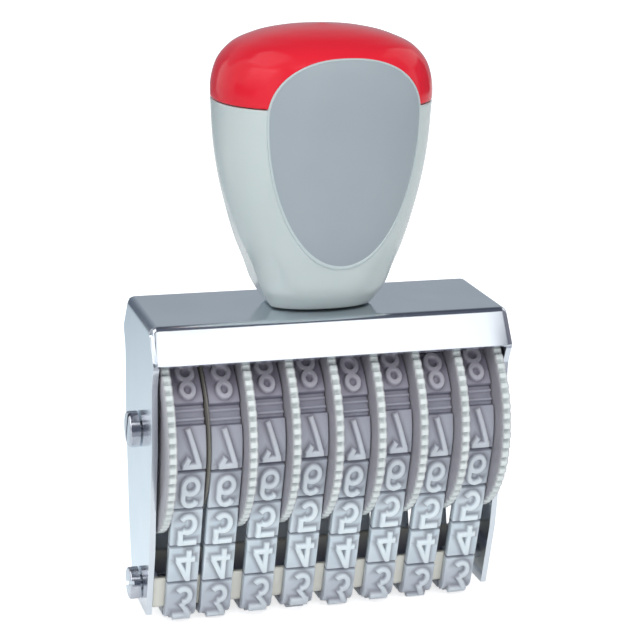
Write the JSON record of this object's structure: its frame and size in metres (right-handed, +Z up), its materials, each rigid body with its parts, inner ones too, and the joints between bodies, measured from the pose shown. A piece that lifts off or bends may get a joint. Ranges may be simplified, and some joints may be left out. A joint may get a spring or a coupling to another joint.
{
  "type": "number stamp",
  "caption": "Hand stamp with numbering bands turned by thumbwheels in a bent steel frame with a palm grip on top.",
  "frame": {"origin": "middle of the underside, on the plane of the type that prints", "axes": "+Z up through the grip, +X along the row of bands to the right as the hand sees it, -Y towards the front"},
  "size_m": [0.0896, 0.0486, 0.1382],
  "materials": {
    "plated_steel": "bright nickel-plated bent sheet",
    "screw_steel": "bright plated, darker",
    "insert_brass": "turned",
    "wheel_plastic": "satin off-white moulding",
    "bar_plastic": "satin cream moulding",
    "band_rubber": "pale grey moulded type rubber",
    "grip_plastic": "glossy pale grey-green moulding",
    "cap_plastic": "glossy red moulding",
    "label_film": "plain blue-grey film, bare"
  },
  "bodies": {
    "frame": {"frame_shell": "plated_steel", "wheel_axle": "plated_steel", "platen_bar": "bar_plastic", "band_divider": "wheel_plastic", "axle_screw_left": "screw_steel", "axle_screw_right": "screw_steel", "platen_screw_left": "screw_steel", "platen_screw_right": "screw_steel", "handle_body": "grip_plastic", "handle_cap": "cap_plastic", "handle_label": "label_film", "handle_insert": "insert_brass", "handle_screw": "screw_steel", "band_1": "band_rubber", "band_2": "band_rubber", "band_3": "band_rubber", "band_4": "band_rubber", "band_5": "band_rubber", "band_6": "band_rubber", "band_7": "band_rubber", "band_8": "band_rubber"},
    "thumbwheel_1": {"wheel_1": "wheel_plastic"},
    "thumbwheel_2": {"wheel_2": "wheel_plastic"},
    "thumbwheel_3": {"wheel_3": "wheel_plastic"},
    "thumbwheel_4": {"wheel_4": "wheel_plastic"},
    "thumbwheel_5": {"wheel_5": "wheel_plastic"},
    "thumbwheel_6": {"wheel_6": "wheel_plastic"},
    "thumbwheel_7": {"wheel_7": "wheel_plastic"},
    "thumbwheel_8": {"wheel_8": "wheel_plastic"}
  },
  "joints": [
    {"name": "wheel_1_turn", "type": "hinge", "parent": "frame", "child": "thumbwheel_1", "pos_m": [-0.03415, 0, 0.0458], "axis": [1, 0, 0], "continuous": true},
    {"name": "wheel_2_turn", "type": "hinge", "parent": "frame", "child": "thumbwheel_2", "pos_m": [-0.02585, 0, 0.0458], "axis": [1, 0, 0], "continuous": true},
    {"name": "wheel_3_turn", "type": "hinge", "parent": "frame", "child": "thumbwheel_3", "pos_m": [-0.01585, 0, 0.0458], "axis": [1, 0, 0], "continuous": true},
    {"name": "wheel_4_turn", "type": "hinge", "parent": "frame", "child": "thumbwheel_4", "pos_m": [-0.00585, 0, 0.0458], "axis": [1, 0, 0], "continuous": true},
    {"name": "wheel_5_turn", "type": "hinge", "parent": "frame", "child": "thumbwheel_5", "pos_m": [0.00415, 0, 0.0458], "axis": [1, 0, 0], "continuous": true},
    {"name": "wheel_6_turn", "type": "hinge", "parent": "frame", "child": "thumbwheel_6", "pos_m": [0.01415, 0, 0.0458], "axis": [1, 0, 0], "continuous": true},
    {"name": "wheel_7_turn", "type": "hinge", "parent": "frame", "child": "thumbwheel_7", "pos_m": [0.02415, 0, 0.0458], "axis": [1, 0, 0], "continuous": true},
    {"name": "wheel_8_turn", "type": "hinge", "parent": "frame", "child": "thumbwheel_8", "pos_m": [0.03415, 0, 0.0458], "axis": [1, 0, 0], "continuous": true}
  ]
}
